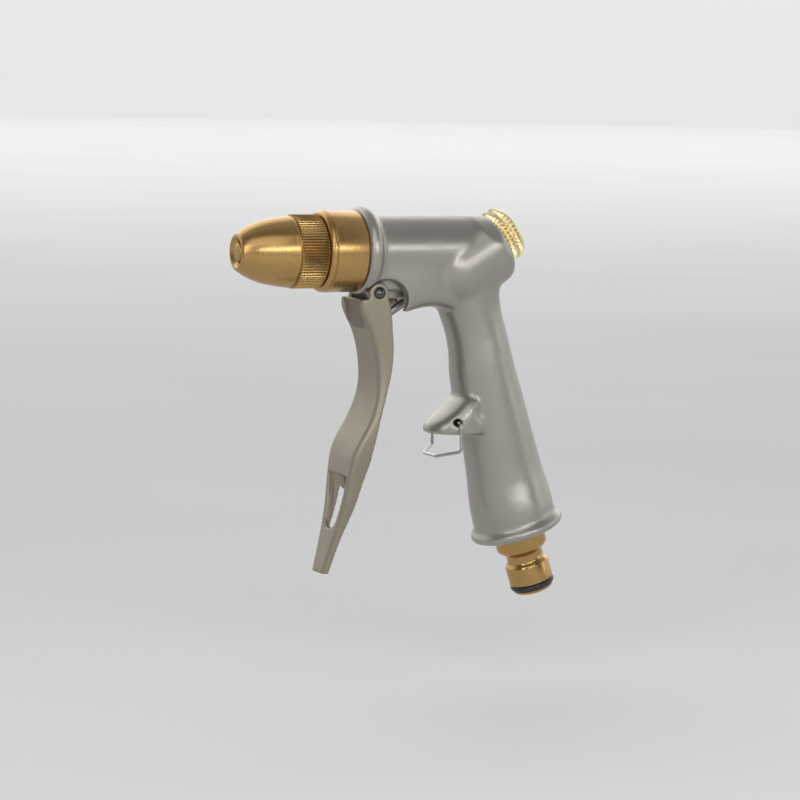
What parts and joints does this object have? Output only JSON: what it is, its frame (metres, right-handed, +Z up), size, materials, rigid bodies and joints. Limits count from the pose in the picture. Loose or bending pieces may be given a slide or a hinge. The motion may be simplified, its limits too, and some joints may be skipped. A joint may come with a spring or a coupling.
{
  "type": "hose spray nozzle",
  "caption": "Pistol-grip garden hose spray nozzle: cast body with lever trigger and locking bail, brass twist spray head, rear knob and quick-connect nipple.",
  "frame": {"origin": "centre of the hose nipple's end face, on the nipple's bore axis", "axes": "-X along the spray axis towards the spray head, +Z up, Y across with the lever pivot's axis along Y"},
  "size_m": [0.1254, 0.0336, 0.1398],
  "materials": {
    "cast_body": "satin champagne-silver metallic paint on cast zinc",
    "cast_lever": "satin metallic paint, slightly darker and warmer than the body",
    "brass_turned": "lathe-turned brass with fine turning lines",
    "brass_knurled": "bright brass with coarse knurl",
    "dark_steel": "dark polished steel rivet head",
    "steel_rod": "drawn steel",
    "spring_wire": "spring steel",
    "bail_steel": "bright drawn wire",
    "rubber_black": "black rubber, slightly glossy"
  },
  "bodies": {
    "body": {"body_casting": "cast_body", "front_adapter": "brass_turned", "adapter_seal": "rubber_black", "centre_pin": "brass_turned", "trigger_pin": "dark_steel", "valve_seat": "brass_turned", "gland_nut": "brass_turned", "gland_packing": "rubber_black", "valve_bonnet": "brass_turned", "bonnet_o_ring": "rubber_black", "hose_nipple": "brass_turned", "nipple_o_ring": "rubber_black", "nipple_gasket": "rubber_black"},
    "trigger": {"trigger_lever": "cast_lever"},
    "valve": {"valve_stem": "steel_rod", "valve_poppet": "brass_turned", "poppet_seal": "rubber_black", "valve_spring": "spring_wire"},
    "sleeve_carrier": {"sleeve_o_ring": "rubber_black"},
    "sleeve": {"nozzle_sleeve": "brass_turned"},
    "spring_carrier": {"spring_seat": "steel_rod"},
    "knob": {"rear_knob": "brass_knurled"},
    "bail": {"bail_wire": "bail_steel"}
  },
  "joints": [
    {"name": "trigger_squeeze", "type": "hinge", "parent": "body", "child": "trigger", "pos_m": [-0.0672, 0, 0.1082], "axis": [0, -1, 0], "range_deg": [0, 22], "stiffness_Nm_per_rad": 2, "springref_deg": -17.19},
    {"name": "valve_travel", "type": "slide", "parent": "body", "child": "valve", "axis": [0.8517, 0, 0.524], "range_m": [0, 0.0039], "deforming": ["valve_spring"]},
    {"name": "sleeve_travel", "type": "slide", "parent": "body", "child": "sleeve_carrier", "axis": [-1, 0, 0], "range_m": [0, 0.004]},
    {"name": "sleeve_twist", "type": "hinge", "parent": "sleeve_carrier", "child": "sleeve", "pos_m": [-0.103, 0, 0.1222], "axis": [-1, 0, 0], "range_deg": [0, 900]},
    {"name": "knob_travel", "type": "slide", "parent": "body", "child": "spring_carrier", "axis": [0.8517, 0, 0.524], "range_m": [0, 0.0023], "deforming": ["valve_spring"]},
    {"name": "knob_turn", "type": "hinge", "parent": "spring_carrier", "child": "knob", "pos_m": [-0.01905, 0, 0.12543], "axis": [0.8517, 0, 0.524], "range_deg": [0, 720]},
    {"name": "bail_swing", "type": "hinge", "parent": "body", "child": "bail", "pos_m": [-0.0363, 0, 0.0622], "axis": [0, 1, 0], "range_deg": [-35, 45]}
  ],
  "couplings": [
    {"joint": "valve_travel", "follows": "trigger_squeeze", "m_per_rad": 0.01},
    {"joint": "sleeve_travel", "follows": "sleeve_twist", "m_per_rad": 0.000254},
    {"joint": "knob_travel", "follows": "knob_turn", "m_per_rad": 0.000159}
  ]
}
